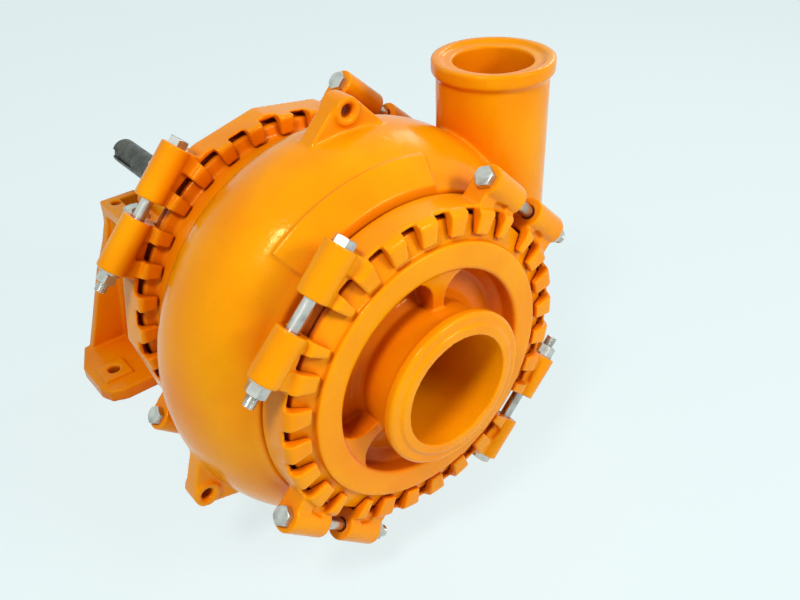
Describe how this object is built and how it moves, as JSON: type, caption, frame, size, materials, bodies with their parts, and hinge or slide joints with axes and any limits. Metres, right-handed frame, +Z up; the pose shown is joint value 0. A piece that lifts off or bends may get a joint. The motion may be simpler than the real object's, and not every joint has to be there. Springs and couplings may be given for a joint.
{
  "type": "slurry pump",
  "caption": "Horizontal centrifugal slurry pump: volute bowl with clawed clamp rings, ribbed suction door, upright discharge, bearing cartridge on a flared cast base.",
  "frame": {"origin": "centre of the suction port's face, on the shaft's axis", "axes": "+Y along the shaft from the suction port to the drive end, +Z up, the discharge points up at +X"},
  "size_m": [0.6244, 0.966, 0.6519],
  "materials": {
    "orange_paint": "gloss",
    "zinc_steel": "satin",
    "machined_steel": "satin",
    "dark_steel": "satin",
    "hard_iron": "rough",
    "brass": "satin",
    "seal_rubber": "matte",
    "packing_fibre": "matte"
  },
  "bodies": {
    "frame": {"pump_base": "orange_paint", "pump_bowl": "orange_paint", "throat_door": "orange_paint", "door_clamp_segment_1": "orange_paint", "door_clamp_segment_2": "orange_paint", "door_clamp_segment_3": "orange_paint", "door_clamp_segment_4": "orange_paint", "door_clamp_bolts": "zinc_steel", "door_clamp_nuts": "zinc_steel", "door_clamp_washers": "zinc_steel", "frame_clamp_segment_1": "orange_paint", "frame_clamp_segment_2": "orange_paint", "frame_clamp_segment_3": "orange_paint", "frame_clamp_segment_4": "orange_paint", "frame_clamp_bolts": "zinc_steel", "frame_clamp_nuts": "zinc_steel", "frame_clamp_washers": "zinc_steel", "door_seal": "seal_rubber", "frame_seal": "seal_rubber", "frame_plate": "orange_paint", "frame_plate_liner": "hard_iron", "stuffing_box": "hard_iron", "stuffing_box_screws": "zinc_steel", "neck_ring": "brass", "lantern_ring": "brass", "packing_rings": "packing_fibre", "gland_studs": "zinc_steel", "bearing_clamp_plates": "zinc_steel", "bearing_clamp_bolts": "zinc_steel", "adjusting_screw": "zinc_steel"},
    "cartridge": {"bearing_housing": "orange_paint", "pump_end_outer_race": "machined_steel", "drive_end_outer_race": "machined_steel", "pump_end_cover": "dark_steel", "drive_end_cover": "dark_steel", "pump_end_cover_screws": "zinc_steel", "drive_end_cover_screws": "zinc_steel", "grease_nipples": "brass", "adjusting_nuts": "zinc_steel"},
    "rotor": {"shaft": "machined_steel", "impeller": "hard_iron", "shaft_sleeve": "machined_steel", "shaft_spacer": "machined_steel", "pump_end_labyrinth": "machined_steel", "drive_end_labyrinth": "machined_steel", "pump_end_inner_race": "machined_steel", "drive_end_inner_race": "machined_steel", "pump_end_rollers": "machined_steel", "drive_end_rollers": "machined_steel"},
    "gland": {"gland": "hard_iron", "gland_nuts": "zinc_steel"}
  },
  "joints": [
    {"name": "bearing_adjust", "type": "slide", "parent": "frame", "child": "cartridge", "axis": [0, 1, 0], "range_m": [-0.0025, 0.003]},
    {"name": "shaft_spin", "type": "hinge", "parent": "cartridge", "child": "rotor", "pos_m": [0, 0.5, 0], "axis": [0, 1, 0], "continuous": true},
    {"name": "gland_slide", "type": "slide", "parent": "frame", "child": "gland", "axis": [0, 1, 0], "range_m": [0, 0.018]}
  ]
}
